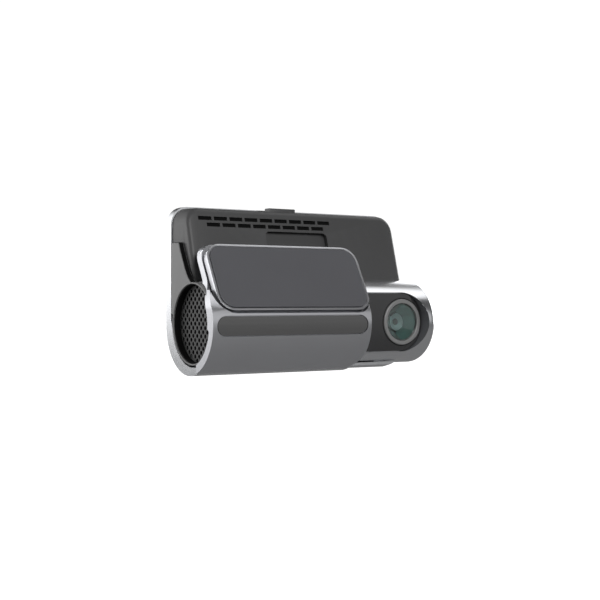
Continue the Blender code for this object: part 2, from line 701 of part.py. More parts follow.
# Front cover: round front and bottom, with a tongue that leans back behind the plate
def on_slope(up, out):
    """(Y, Z) of a point this far up the plate's slope and out from its face."""
    point = PLATE_ORIGIN + SLOPE_UP * up + PLATE_OUT * out
    return (point.y, point.z)


def angle_of(point):
    return degrees(acos(point[0] / hypot(*point))) * (1 if point[1] > 0 else -1)


def plate_foot_angle():
    """Degrees above the horizontal at which the plate's lower edge meets the round front."""
    return degrees(asin(PLATE_FOOT / BODY_RADIUS))


def meets_circle(out, radius):
    """Where a face this far out from the plate's slope leaves a circle round the axis, above the axis."""
    offset = -(PLATE_ORIGIN + PLATE_OUT * out).dot(PLATE_OUT)
    up = sqrt(radius**2 - offset**2) - (PLATE_ORIGIN + PLATE_OUT * out).dot(SLOPE_UP)
    return up


TONGUE_FRONT = -PAD_PROUD - PLATE_THICK - GROOVE
TONGUE_BACK = TONGUE_FRONT - TONGUE_THICK
TONGUE_TOP = PLATE_HEIGHT + TONGUE_RISE
FLOOR_OUTER = RIM_OUTER + 0.2 * MM


def cover_profile():
    inner = BODY_RADIUS - COVER_WALL
    floor_inner = FLOOR_OUTER - FLOOR_THICK
    seam = SEAM_Y - GAP
    outside = arc((0, 0), BODY_RADIUS, circle_angle(seam, BODY_RADIUS), -180 - plate_foot_angle(), 24)
    blend_up = (BLEND_TOP - on_slope(0, TONGUE_FRONT)[1]) / SLOPE_UP.z
    start, end = Vector(outside[-1]), Vector(on_slope(blend_up, TONGUE_FRONT))
    bend = Vector((start.x + 3.6 * MM, start.y + 5.8 * MM))
    steps = [i / 6 for i in range(1, 7)]
    blend = [tuple(start * (1 - t) ** 2 + bend * 2 * t * (1 - t) + end * t**2) for t in steps]
    root = meets_circle(TONGUE_BACK, FLOOR_OUTER)
    inner_root = meets_circle(TONGUE_BACK, floor_inner)
    top = [
        *blend,
        on_slope(TONGUE_TOP, TONGUE_FRONT),
        on_slope(TONGUE_TOP, TONGUE_BACK),
        on_slope(root, TONGUE_BACK),
    ]
    floor = arc((0, 0), FLOOR_OUTER, angle_of(on_slope(root, TONGUE_BACK)), FLOOR_END, 4)[1:]
    under = arc((0, 0), floor_inner, FLOOR_END, angle_of(on_slope(inner_root, TONGUE_BACK)), 4)
    back = [on_slope(-2.4 * MM, TONGUE_BACK)]
    inside = arc((0, 0), inner, -171, circle_angle(seam, inner), 16)
    return [*outside, *top, *floor, *under, *back, *inside]


def cover_outline(height):
    """The cover from the front: flared at the speaker end, rounded where it meets the cradle."""
    left = -COVER_PROUD
    flare = []
    for i in range(11):
        share = i / 10
        x = left + (PLATE_START - left) * (0.5 - 0.5 * cos(pi * share))
        flare.append((x, FLARE_FOOT + (FLARE_TOP - FLARE_FOOT) * share))
    flare = [point for point in flare if point[1] < height - PLATE_CORNER]
    top = arc((PLATE_START + PLATE_CORNER, height - PLATE_CORNER), PLATE_CORNER, 180, 90, 6)
    top += arc((PLATE_END - PLATE_CORNER, height - PLATE_CORNER), PLATE_CORNER, 90, 0, 6)
    bottom = -BODY_RADIUS - MM
    foot = arc((COVER_END - 9 * MM, -BODY_RADIUS + 8.4 * MM), 9 * MM, 0, -90, 6)
    return [(left, bottom), *flare, *top, (COVER_END, PLATE_FOOT), *foot]


def strip_outline(grow):
    radius = STRIP_HEIGHT / 2 + grow
    low, high = STRIP_CENTRE - radius, STRIP_CENTRE + radius
    left = -COVER_PROUD + STRIP_ENDS - grow
    return rounded(left, low, COVER_END - STRIP_STOP + grow, high, [radius * 0.999] * 4, 8)


def rail_outline(grow, reach):
    """The dovetail's section across the slope, up to this far in front of the tongue."""
    middle = (PLATE_START + PLATE_END) / 2
    neck = RAIL_NECK / 2 + grow
    head = RAIL_WIDTH / 2 + grow
    base = TONGUE_FRONT - RAIL_DEPTH - grow
    front = TONGUE_FRONT + reach
    left = [(middle - neck, front), (middle - neck, TONGUE_FRONT), (middle - head, base)]
    return left + [(2 * middle - x, out) for x, out in reversed(left)]


# The dovetail's section lies across the slope, and is extruded up it.
UP_PLATE = ON_PLATE @ Matrix(((1, 0, 0, 0), (0, 0, 1, 0), (0, 1, 0, 0), (0, 0, 0, 1)))


def make_front_cover():
    length = COVER_END + COVER_PROUD + 2 * MM
    cover = piece("front_cover", prism(cover_profile(), length, ALONG_X, -COVER_PROUD - MM), GREY)
    top = on_slope(TONGUE_TOP, TONGUE_FRONT)[1] + 0.1 * MM
    keep(cover, "cover_outline", prism(cover_outline(top), 3 * BODY_RADIUS, FORWARDS, -1.5 * BODY_RADIUS))
    corners = [PLATE_CORNER + GROOVE, HORN_CORNER, 0, 0]
    pocket = rounded(PLATE_START - GROOVE, -GROOVE, COVER_END + HORN_ROOM, 2 * PLATE_HEIGHT, corners)
    cut(cover, "plate_pocket", prism(pocket, 12 * MM, ON_PLATE, TONGUE_FRONT))
    cut(cover, "rim_room", disc(RIM_OUTER + GAP, LIP_THICK - COVER_PROUD, SPEAKER_START - GAP))
    cut(cover, "lip_bore", disc(RIM_RADIUS + GAP / 2, -COVER_PROUD - 2 * MM, 0))
    cut(cover, "speaker_room", disc(SPEAKER_RADIUS + GAP, 0, SPEAKER_END + MM))
    slide = prism(rail_outline(GAP, OVERLAP), 3 * PLATE_HEIGHT, UP_PLATE, RAIL_START - GAP)
    cut(cover, "rail_slot", slide)
    band = disc(BODY_RADIUS + 3 * MM, -COVER_PROUD, COVER_END, bore=BODY_RADIUS - STRIP_DEPTH - GAP)
    recess = cut(cover, "strip_recess", band)
    half = prism(strip_outline(GAP / 2), 2 * BODY_RADIUS, FORWARDS, BODY_RADIUS / 2)
    keep(recess, "strip_recess_outline", half)


def make_label_strip():
    band = disc(BODY_RADIUS - 0.1 * MM, -COVER_PROUD, COVER_END, bore=BODY_RADIUS - STRIP_DEPTH)
    strip = piece("label_strip", band, STRIP)
    outline = strip_outline(-GAP / 2)
    keep(strip, "strip_outline", prism(outline, 2 * BODY_RADIUS, FORWARDS, BODY_RADIUS / 2))


# Windscreen mount
def plate_outline(inset):
    radii = [PLATE_CORNER - inset] * 4
    return rounded(PLATE_START + inset, inset, PLATE_END - inset, PLATE_HEIGHT - inset, radii, 7)


def make_mount():
    face = -PAD_PROUD
    plate = piece("mount_plate", prism(plate_outline(0), PLATE_THICK, ON_PLATE, face - PLATE_THICK), GREY)
    soften(plate, PLATE_EDGE, 3)
    cut(plate, "pad_recess", prism(plate_outline(PAD_INSET), 2 * MM, ON_PLATE, -PAD_THICK - GAP))
    join(plate, "mount_rail", prism(rail_outline(0, GROOVE + OVERLAP), RAIL_LENGTH, UP_PLATE, RAIL_START))
    piece("adhesive_pad", prism(plate_outline(PAD_INSET + GAP), PAD_THICK, ON_PLATE, -PAD_THICK), PAD)


# Lens barrel
def window_outline(grow, start):
    """The barrel's flat: straight sides ending in a half ellipse round the lens."""
    high = sqrt(BARREL_RADIUS**2 - FLAT_Y**2) + grow
    reach = WINDOW_REACH + grow
    end = [(LENS_X + x * reach, z * high) for x, z in arc((0, 0), 1, -90, 90, 24)]
    return [(start, -high), *end, (start, high)]


def lens_matrix():
    return Matrix.Translation((LENS_X, 0, 0)) @ FORWARDS


def make_barrel():
    inner = BARREL_RADIUS - BARREL_WALL
    fillet = arc((BARREL_RADIUS - BARREL_FILLET, BARREL_END - BARREL_FILLET), BARREL_FILLET, 90, 0, 6)
    end = BARREL_END - BARREL_WALL
    profile = [(0, BARREL_END), *fillet, (BARREL_RADIUS, BARREL_START), (inner, BARREL_START)]
    profile += [(inner, end - MM), (inner - MM, end), (0, end)]
    shell = piece("barrel_shell", turned(profile, sides=80), SILVER, BARREL_AXIS)
    floor = FLAT_Y - WINDOW_THICK - GAP
    pocket = prism(window_outline(0, COVER_END - MM), BARREL_RADIUS, FORWARDS, floor)
    cut(shell, "window_pocket", pocket)
    start = BARREL_START + GAP
    panel = prism(window_outline(-GAP, start), WINDOW_THICK, FORWARDS, FLAT_Y - WINDOW_THICK)
    window = piece("lens_window", panel, GLOSS, BARREL_AXIS)
    hole = disc(RING_RADIUS + GAP, 0, BODY_RADIUS, lens_matrix())
    cut(window, "ring_hole", hole)
    front = FLAT_Y + RING_PROUD
    bore = RING_RADIUS - RING_WALL
    ring = [
        (RING_RADIUS - RING_EDGE, front),
        (RING_RADIUS, front - RING_EDGE),
        (RING_RADIUS, FLAT_Y - WINDOW_THICK),
        (bore, FLAT_Y - WINDOW_THICK),
        (bore, front - RING_LIP),
        (bore + RING_LIP, front),
    ]
    piece("lens_ring", turned(ring, lens_matrix()), RING, BARREL_AXIS)
    glass_front = front - LENS_GLASS_SUNK
    glass = disc(bore - GAP, glass_front - COVER_GLASS_THICK, glass_front, lens_matrix(), 48)
    piece("cover_glass", glass, GLASS, BARREL_AXIS)
    wide = bore - GAP
    mouth = glass_front - COVER_GLASS_THICK - GAP
    throat = ELEMENT_RADIUS + GAP
    hood = [
        (wide, mouth),
        (wide, FLAT_Y - WINDOW_THICK - GAP),
        (throat + HOOD_STEP, ELEMENT_DEPTH - ELEMENT_SEAT),
        (throat, ELEMENT_DEPTH - ELEMENT_SEAT),
        (throat, ELEMENT_DEPTH),
        (wide - HOOD_WALL, mouth),
    ]
    piece("lens_hood", turned(hood, lens_matrix(), 48), GLOSS, BARREL_AXIS)
    shares = [i / 6 for i in range(7)]
    crown = [(ELEMENT_RADIUS * (1 - i), ELEMENT_DEPTH + ELEMENT_CROWN * sin(pi / 2 * i)) for i in shares]
    crown.reverse()
    element_back = ELEMENT_DEPTH - ELEMENT_EDGE
    element = [*crown, (ELEMENT_RADIUS, element_back), (0, element_back)]
    piece("front_element", turned(element, lens_matrix(), 40), GLASS, BARREL_AXIS)
    tube_front = ELEMENT_DEPTH - ELEMENT_SEAT - GAP
    tube = disc(
        ELEMENT_RADIUS + LENS_TUBE_WALL,
        TUBE_BACK,
        tube_front,
        lens_matrix(),
        40,
        bore=ELEMENT_RADIUS - LENS_TUBE_WALL,
    )
    piece("lens_tube", tube, DARK, BARREL_AXIS)
    half = HOLDER_SIZE / 2
    board_face = SENSOR_ROOM - TUBE_BACK
    holder = block((LENS_X - half, HOLDER_FRONT, -half), (LENS_X + half, board_face - GAP, half))
    holder = piece("lens_holder", holder, DARK, BARREL_AXIS)
    hole_radius = ELEMENT_RADIUS + LENS_TUBE_WALL + GAP
    cut(holder, "holder_bore", disc(hole_radius, -BODY_RADIUS, BODY_RADIUS, lens_matrix(), 40))
    chip = SENSOR_SIZE / 2
    low = (LENS_X - chip, board_face - GAP - SENSOR_THICK, -chip)
    piece("image_sensor", block(low, (LENS_X + chip, board_face - GAP, chip)), DARK, BARREL_AXIS)
    wide, high = SENSOR_BOARD_LENGTH / 2, SENSOR_BOARD_HEIGHT / 2
    low = (LENS_X - wide, board_face, -high)
    high = (LENS_X + wide, board_face + BOARD_THICK, high)
    piece("sensor_board", block(low, high), BOARD, BARREL_AXIS)


def make_pivot():
    hub = BARREL_START + GAP
    left = hub - BARREL_CLEAR - GAP - BULKHEAD_THICK - MM
    radius = BARREL_RADIUS - BARREL_WALL - GAP
    shaft_end = hub - SHAFT_LENGTH
    profile = [
        (radius, hub + HUB_THICK),
        (radius, hub),
        (SHAFT_RADIUS, hub),
        (SHAFT_RADIUS, shaft_end),
        (SHAFT_BORE, shaft_end),
        (SHAFT_BORE, hub + HUB_THICK),
    ]
    shaft = piece("pivot_shaft", turned(profile, sides=48), STEEL, BARREL_AXIS)
    flat = FLAT_Y - WINDOW_THICK - 2 * GAP
    keep(shaft, "hub_flat", block((0, -flat, -BODY_RADIUS), (BODY_LENGTH, BODY_RADIUS, BODY_RADIUS)))
    hole = SHAFT_RADIUS + GAP
    bulkhead = disc(BULKHEAD_RADIUS, left, left + BULKHEAD_THICK, sides=48)
    bulkhead = piece("pivot_bulkhead", bulkhead, DARK)
    foot = BULKHEAD_FOOT / 2
    depth = sqrt((BODY_RADIUS - SHELL_WALL) ** 2 - foot**2) - 2 * GAP
    join(bulkhead, "bulkhead_foot", block((left, -foot, -depth), (left + BULKHEAD_THICK, foot, 0)))
    cut(bulkhead, "shaft_hole", disc(hole, 0, BODY_LENGTH, sides=48))
    washer = left - GAP
    clip = washer - WASHER_THICK - GAP
    plate = disc(WASHER_RADIUS, washer - WASHER_THICK, washer, sides=40, bore=hole)
    piece("friction_washer", plate, STEEL)
    ring = disc(WASHER_RADIUS - MM, clip - WASHER_THICK, clip, sides=40, bore=hole)
    ring = piece("shaft_clip", ring, STEEL, BARREL_AXIS)
    slot = block((0, 0, -CLIP_MOUTH / 2), (BODY_LENGTH, BODY_RADIUS, CLIP_MOUTH / 2))
    cut(ring, "clip_mouth", slot)


# Electronics
def card_front():
    return BOARD_BACK + GAP + SOCKET_WALL + GAP


def make_board():
    low = (BOARD_MARGIN, BOARD_FRONT, BOARD_FOOT)
    high = (BODY_LENGTH - BOARD_MARGIN, BOARD_BACK, BOARD_TOP)
    board = piece("main_board", block(low, high), BOARD)
    for i, (x, z) in enumerate(boss_places()):
        at = Matrix.Translation((x, 0, z)) @ FORWARDS
        drill = disc(SCREW_RADIUS + GAP, -BOARD_BACK - MM, -BOARD_FRONT + MM, at, SMALL_ROUND)
        cut(board, f"board_hole_{i}", drill)
        under = -BOARD_BACK - GAP
        screw = [
            (0, under - SCREW_HEAD_THICK),
            (SCREW_HEAD, under - SCREW_HEAD_THICK),
            (SCREW_HEAD, under),
            (SCREW_RADIUS - 0.1 * MM, under),
            (SCREW_RADIUS - 0.1 * MM, under + SCREW_LENGTH),
            (0, under + SCREW_LENGTH),
        ]
        piece(f"board_screw_{i + 1}", turned(screw, at, 16), STEEL)


def make_components():
    middle = (DOOR_LEFT + DOOR_RIGHT) / 2
    behind = BOARD_BACK + GAP
    before = BOARD_FRONT - GAP
    foot = BOARD_FOOT + CHIP_MARGIN
    low = (middle - SHIELD_LENGTH / 2, behind, BOARD_FOOT + SHIELD_FOOT)
    high = (middle + SHIELD_LENGTH / 2, behind + SHIELD_THICK, BOARD_FOOT + SHIELD_FOOT + SHIELD_HEIGHT)
    piece("processor_shield", block(low, high), STEEL)
    sink_top = foot + SINK_HEIGHT
    low = (middle - SINK_LENGTH / 2, before - SINK_BASE, foot)
    sink = piece("heat_sink", block(low, (middle + SINK_LENGTH / 2, before, sink_top)), STEEL)
    fin_front = front_y(sink_top, DOOR_SUNK + DOOR_THICK) + GAP
    for i in range(FIN_COUNT):
        left = middle - SINK_LENGTH / 2 + FIN_MARGIN + i * FIN_PITCH
        fin = block((left, fin_front, foot), (left + FIN_THICK, before - SINK_BASE / 2, sink_top))
        join(sink, f"fin_{i}", fin)
    x = BOARD_MARGIN + ANTENNA_INSET
    high = (x + ANTENNA_SIZE, before, foot + ANTENNA_SIZE)
    piece("gps_antenna", block((x, before - ANTENNA_THICK, foot), high), CERAMIC)
    x = BUTTON_CENTRE - MIC_OFFSET
    top = BOARD_TOP - MIC_DROP
    high = (x + MIC_LENGTH, behind + MIC_THICK, top)
    piece("microphone", block((x, behind, top - MIC_HEIGHT), high), STEEL)
    end = SPEAKER_END + CAPACITOR_GAP
    for i, z in enumerate(CAPACITOR_HEIGHTS):
        at = Matrix.Translation((0, CAPACITOR_Y, z)) @ ALONG_X
        can = disc(CAPACITOR_RADIUS, end, end + CAPACITOR_LENGTH, at, SMALL_ROUND)
        piece(f"supercapacitor_{i + 1}", can, SLEEVE)


def make_button():
    left = BUTTON_CENTRE - BUTTON_WIDTH / 2
    right = left + BUTTON_WIDTH
    back = BUTTON_FRONT + BUTTON_DEPTH
    under = HOUSING_TOP - HOUSING_WALL - GAP - FLANGE_THICK
    high = (right, back, HOUSING_TOP + BUTTON_PROUD)
    button = piece("top_button", block((left, BUTTON_FRONT, under), high), BLACK, BUTTON_GUIDE)
    soften(button, BUTTON_EDGE)
    low = (left - FLANGE_REACH, BUTTON_FRONT, under)
    flange = block(low, (right + FLANGE_REACH, back, under + FLANGE_THICK))
    join(button, "button_flange", flange)
    top = under - BUTTON_TRAVEL - GAP
    can_top = top - PLUNGER_PROUD
    behind = BOARD_BACK + GAP
    low = (BUTTON_CENTRE - SWITCH_LENGTH / 2, behind, can_top - SWITCH_HEIGHT)
    high = (BUTTON_CENTRE + SWITCH_LENGTH / 2, behind + SWITCH_DEPTH, can_top)
    switch = piece("button_switch", block(low, high), DARK)
    at = Matrix.Translation((BUTTON_CENTRE, behind + SWITCH_DEPTH / 2, 0))
    plunger = disc(PLUNGER_RADIUS, can_top - PLUNGER_ROOT, top, at, 16)
    join(switch, "switch_plunger", plunger)


def make_port():
    end = BODY_LENGTH - HOUSING_INSET - HOUSING_DRAFT
    back = BOARD_FRONT - GAP
    low = Vector((end - PORT_LENGTH, back - PORT_THICK, PORT_FOOT))
    high = Vector((end, back, PORT_FOOT + PORT_HEIGHT))
    port = piece("usb_c_port", block(low, high), STEEL)
    soften(port, PORT_CORNER, 3)
    wall = Vector((0, PORT_WALL, PORT_WALL))
    through = Vector((PORT_BACK_WALL, 0, 0))
    hollow = cut(port, "port_hollow", block(low + wall + through, high - wall + through))
    soften(hollow, PORT_CORNER - OVERLAP, 3)
    middle = back - PORT_THICK / 2
    half = PORT_TONGUE_THICK / 2
    low = (end - PORT_LENGTH + PORT_BACK_WALL / 2, middle - half, PORT_FOOT + TONGUE_MARGIN)
    high = (end - TONGUE_STOP, middle + half, PORT_FOOT + PORT_HEIGHT - TONGUE_MARGIN)
    join(port, "port_tongue", block(low, high))


def make_card():
    front = card_front()
    end = BODY_LENGTH - HOUSING_INSET - CARD_SUNK
    low = (end - CARD_LENGTH, front, CARD_FOOT)
    high = (end, front + CARD_THICK, CARD_FOOT + CARD_WIDTH)
    piece("microsd_card", block(low, high), DARK, CARD_GUIDE)
    start = end - CARD_LENGTH - GAP - SOCKET_WALL
    wall = SOCKET_WALL + GAP
    low = Vector((start, front - wall, CARD_FOOT - wall))
    high = Vector((end - CARD_GRIP, front + CARD_THICK + wall, CARD_FOOT + CARD_WIDTH + wall))
    socket = piece("card_socket", block(low, high), STEEL)
    inset = Vector((0, SOCKET_WALL, SOCKET_WALL))
    hollow = block(low + inset + Vector((SOCKET_WALL, 0, 0)), high - inset + Vector((SOCKET_WALL, 0, 0)))
    cut(socket, "socket_hollow", hollow)


make_rear_shell()
make_display()
make_housing()
make_service_panel()
make_speaker_end()
make_front_cover()
make_label_strip()
make_mount()
make_barrel()
make_pivot()
make_board()
make_components()
make_button()
make_port()
make_card()
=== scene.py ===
"""Looks of the windscreen dash camera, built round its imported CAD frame. Metres, +Z up, road towards -Y."""

import json
from math import cos, pi, radians, sin

import bmesh
import bpy
from mathutils import Matrix, Vector
from mathutils.bvhtree import BVHTree


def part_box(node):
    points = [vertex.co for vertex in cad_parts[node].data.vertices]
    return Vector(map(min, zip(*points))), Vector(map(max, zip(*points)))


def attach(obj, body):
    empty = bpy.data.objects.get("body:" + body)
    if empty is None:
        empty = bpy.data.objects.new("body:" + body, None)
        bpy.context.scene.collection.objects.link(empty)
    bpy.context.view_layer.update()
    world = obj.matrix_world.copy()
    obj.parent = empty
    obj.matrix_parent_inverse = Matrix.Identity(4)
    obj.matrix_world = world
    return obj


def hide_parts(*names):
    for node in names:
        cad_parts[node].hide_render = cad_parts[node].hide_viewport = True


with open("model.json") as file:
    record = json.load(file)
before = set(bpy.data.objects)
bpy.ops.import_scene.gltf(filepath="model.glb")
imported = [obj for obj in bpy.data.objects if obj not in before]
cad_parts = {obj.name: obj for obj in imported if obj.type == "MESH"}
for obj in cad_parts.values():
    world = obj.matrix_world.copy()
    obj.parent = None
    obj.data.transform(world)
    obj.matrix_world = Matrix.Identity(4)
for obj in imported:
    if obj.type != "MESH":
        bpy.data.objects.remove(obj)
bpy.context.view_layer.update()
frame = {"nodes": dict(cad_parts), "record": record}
MM = 0.001
scene = bpy.context.scene


# Camera: level with the lens, left of the road side, far enough off for a product lens.
LENS_MM = 70.2
AZIMUTH = radians(33.7)
DISTANCE = 0.440
AIM = Vector((-2.75 * MM, -10.2 * MM, -8.85 * MM))
camera_data = bpy.data.cameras.new("camera")
camera_data.lens = LENS_MM
camera_data.sensor_width = 36
camera = bpy.data.objects.new("camera", camera_data)
look = Vector((sin(AZIMUTH), cos(AZIMUTH), 0))
camera.location = AIM - look * DISTANCE
camera.rotation_euler = (pi / 2, 0, -AZIMUTH)
scene.collection.objects.link(camera)
scene.camera = camera


# Studio: a pale floor under dim air with four soft panels painted in it: left, right, overhead and in front.
# One soft box in front of the object and one at its left carry the light for the black plastics.
scene.view_settings.view_transform = "Standard"
world = bpy.data.worlds.new("studio_air")
world.use_nodes = True
scene.world = world
air = world.node_tree
background = air.nodes["Background"]
background.inputs["Color"].default_value = (1, 1, 1, 1)
direction = air.nodes.new("ShaderNodeTexCoord")
AIR_LEVEL = 0.09
BACKDROP_LEVEL = 1.05
# Each panel: the way to its middle, the angles in degrees where it fades out and where it is full, its strength.
PANELS = (
    ((-0.75, 0.66, 0.05), 64, 26, 1.5),
    ((0.91, 0.40, 0.10), 32, 22, 3.8),
    ((0.56, 0.0, 0.83), 22, 9, 1.5),
    ((0.50, -0.85, 0.14), 26, 9, 0.6),
)
total = None
for centre, edge_angle, full_angle, strength in PANELS:
    toward = air.nodes.new("ShaderNodeVectorMath")
    toward.operation = "DOT_PRODUCT"
    toward.inputs[1].default_value = Vector(centre).normalized()
    air.links.new(direction.outputs["Generated"], toward.inputs[0])
    panel = air.nodes.new("ShaderNodeMapRange")
    panel.interpolation_type = "SMOOTHSTEP"
    panel.inputs["From Min"].default_value = cos(radians(edge_angle))
    panel.inputs["From Max"].default_value = cos(radians(full_angle))
    panel.inputs["To Max"].default_value = strength
    air.links.new(toward.outputs["Value"], panel.inputs["Value"])
    more = air.nodes.new("ShaderNodeMath")
    more.inputs[0].default_value = AIR_LEVEL
    if total:
        air.links.new(total.outputs[0], more.inputs[0])
    air.links.new(panel.outputs["Result"], more.inputs[1])
    total = more
path = air.nodes.new("ShaderNodeLightPath")
level = air.nodes.new("ShaderNodeMix")
level.inputs["B"].default_value = BACKDROP_LEVEL
air.links.new(path.outputs["Is Camera Ray"], level.inputs["Factor"])
air.links.new(total.outputs[0], level.inputs["A"])
air.links.new(level.outputs["Result"], background.inputs["Strength"])


def soft_box(name, width, height, place, aim, watts):
    light = bpy.data.lights.new(name, "AREA")
    light.shape = "RECTANGLE"
    light.size = width
    light.size_y = height
    light.energy = watts
    lamp = bpy.data.objects.new(name, light)
    lamp.location = place
    lamp.rotation_euler = (Vector(aim) - Vector(place)).to_track_quat("-Z", "Y").to_euler()
    scene.collection.objects.link(lamp)


soft_box("left_box", 0.5, 0.7, (-0.80, 0.30, 0.08), (0, 0, -0.01), 3.0)
soft_box("front_box", 0.4, 0.4, (-0.15, -0.95, 0.45), (0, 0, 0), 7.0)

FLOOR_DROP = 0.22
FLOOR_RADIUS = 8.0
bm = bmesh.new()
bmesh.ops.create_circle(bm, cap_ends=True, segments=48, radius=FLOOR_RADIUS)
bmesh.ops.translate(bm, verts=bm.verts, vec=(0, 0, -FLOOR_DROP))
floor_mesh = bpy.data.meshes.new("studio_floor")
bm.to_mesh(floor_mesh)
bm.free()
floor = bpy.data.objects.new("studio_floor", floor_mesh)
scene.collection.objects.link(floor)
paper = bpy.data.materials.new("pale_paper")
paper.use_nodes = True
paper_shader = paper.node_tree.nodes["Principled BSDF"]
paper_shader.inputs["Base Color"].default_value = (0.22, 0.22, 0.22, 1)
paper_shader.inputs["Roughness"].default_value = 0.9
paper_shader.inputs["Emission Color"].default_value = (1, 1, 1, 1)
seen = paper.node_tree.nodes.new("ShaderNodeLightPath")
glow = paper.node_tree.nodes.new("ShaderNodeMapRange")
glow.inputs["To Min"].default_value = 0.02
glow.inputs["To Max"].default_value = 1.0
paper.node_tree.links.new(seen.outputs["Is Camera Ray"], glow.inputs["Value"])
paper.node_tree.links.new(glow.outputs["Result"], paper_shader.inputs["Emission Strength"])
floor_mesh.materials.append(paper)


# Rear shell: one silver-coated moulding that frames the display and curls under speaker and barrel.
# Its coat is a satin metallic lacquer with fine flake, rubbed a little brighter along the edges.
def group_sockets(group, inputs, outputs):
    for name, kind, value in inputs:
        socket = group.interface.new_socket(name, in_out="INPUT", socket_type=kind)
        socket.default_value = value
    for name, kind in outputs:
        group.interface.new_socket(name, in_out="OUTPUT", socket_type=kind)


def new_node(tree, kind, **values):
    node = tree.nodes.new("ShaderNode" + kind)
    for name, value in values.items():
        setattr(node, name, value)
    return node


def grain_group():
    """Fine grain in the surface: two sizes of noise, as a height and as a slow change of tone."""
    group = bpy.data.node_groups.new("moulded_grain", "ShaderNodeTree")
    group_sockets(
        group,
        [("Grain Size", "NodeSocketFloat", 0.0003), ("Patch Size", "NodeSocketFloat", 0.02)],
        [("Height", "NodeSocketFloat"), ("Tone", "NodeSocketFloat")],
    )
    given = group.nodes.new("NodeGroupInput")
    out = group.nodes.new("NodeGroupOutput")
    where = new_node(group, "TexCoord")
    for size, detail, result in (("Grain Size", 2.0, "Height"), ("Patch Size", 4.0, "Tone")):
        per_metre = new_node(group, "Math", operation="DIVIDE")
        per_metre.inputs[0].default_value = 1.0
        group.links.new(given.outputs[size], per_metre.inputs[1])
        noise = new_node(group, "TexNoise")
        noise.inputs["Detail"].default_value = detail
        group.links.new(where.outputs["Object"], noise.inputs["Vector"])
        group.links.new(per_metre.outputs[0], noise.inputs["Scale"])
        group.links.new(noise.outputs["Fac"], out.inputs[result])
    return group


def wear_group():
    """Where hands and cloths have rubbed: convex edges, broken up by noise."""
    group = bpy.data.node_groups.new("edge_rub", "ShaderNodeTree")
    group_sockets(
        group,
        [("Amount", "NodeSocketFloat", 0.3), ("Break Size", "NodeSocketFloat", 0.003)],
        [("Mask", "NodeSocketFloat")],
    )
    given = group.nodes.new("NodeGroupInput")
    out = group.nodes.new("NodeGroupOutput")
    form = new_node(group, "NewGeometry")
    edges = new_node(group, "MapRange")
    edges.inputs["From Min"].default_value = 0.52
    edges.inputs["From Max"].default_value = 0.60
    group.links.new(form.outputs["Pointiness"], edges.inputs["Value"])
    where = new_node(group, "TexCoord")
    per_metre = new_node(group, "Math", operation="DIVIDE")
    per_metre.inputs[0].default_value = 1.0
    group.links.new(given.outputs["Break Size"], per_metre.inputs[1])
    noise = new_node(group, "TexNoise")
    noise.inputs["Detail"].default_value = 3.0
    group.links.new(where.outputs["Object"], noise.inputs["Vector"])
    group.links.new(per_metre.outputs[0], noise.inputs["Scale"])
    broken = new_node(group, "Math", operation="MULTIPLY")
    group.links.new(edges.outputs["Result"], broken.inputs[0])
    group.links.new(noise.outputs["Fac"], broken.inputs[1])
    scaled = new_node(group, "Math", operation="MULTIPLY", use_clamp=True)
    group.links.new(broken.outputs[0], scaled.inputs[0])
    group.links.new(given.outputs["Amount"], scaled.inputs[1])
    group.links.new(scaled.outputs[0], out.inputs["Mask"])
    return group


GRAIN = grain_group()
RUB = wear_group()


def finish(
    name, colour, rough, metal=0.0, grain=0.3 * MM, relief=0.2, shift=0.06, rub=0.3, rubbed=1.35, coat=0.0
):
    """A moulded, coated or machined surface: base colour with a slow change of tone, fine relief, rubbed edges."""
    material = bpy.data.materials.new(name)
    material.use_nodes = True
    tree = material.node_tree
    shader = tree.nodes["Principled BSDF"]
    shader.inputs["Metallic"].default_value = metal
    shader.inputs["Coat Weight"].default_value = coat
    shader.inputs["Coat Roughness"].default_value = 0.08
    texture = tree.nodes.new("ShaderNodeGroup")
    texture.node_tree = GRAIN
    texture.inputs["Grain Size"].default_value = grain
    edge_rub = tree.nodes.new("ShaderNodeGroup")
    edge_rub.node_tree = RUB
    edge_rub.inputs["Amount"].default_value = rub
    tone = new_node(tree, "MixRGB")
    tone.inputs["Color1"].default_value = (*[c * (1 - shift) for c in colour], 1)
    tone.inputs["Color2"].default_value = (*[min(1, c * (1 + shift)) for c in colour], 1)
    tree.links.new(texture.outputs["Tone"], tone.inputs["Fac"])
    worn = new_node(tree, "MixRGB")
    worn.inputs["Color2"].default_value = (*[min(1, c * rubbed) for c in colour], 1)
    tree.links.new(tone.outputs["Color"], worn.inputs["Color1"])
    tree.links.new(edge_rub.outputs["Mask"], worn.inputs["Fac"])
    tree.links.new(worn.outputs["Color"], shader.inputs["Base Color"])
    gloss = new_node(tree, "MapRange")
    gloss.inputs["To Min"].default_value = rough * 0.88
    gloss.inputs["To Max"].default_value = min(1, rough * 1.12)
    tree.links.new(texture.outputs["Tone"], gloss.inputs["Value"])
    tree.links.new(gloss.outputs["Result"], shader.inputs["Roughness"])
    bump = new_node(tree, "Bump")
    bump.inputs["Strength"].default_value = relief
    bump.inputs["Distance"].default_value = 0.05 * MM
    tree.links.new(texture.outputs["Height"], bump.inputs["Height"])
    tree.links.new(bump.outputs["Normal"], shader.inputs["Normal"])
    return material


def matt_black(name, grain, relief):
    """Near-black matt surface, no shine, with a fine uneven surface: the speaker cone, and the pieces that paint
    shade.
    """
    material = finish(name, (0.004, 0.004, 0.004), 0.95, 0.0, grain=grain, relief=relief, rub=0.0)
    material.node_tree.nodes["Principled BSDF"].inputs["Specular IOR Level"].default_value = 0.12
    return material


BODY_OF = {node: body for body, nodes in frame["record"]["behaviour"]["bodies"].items() for node in nodes}


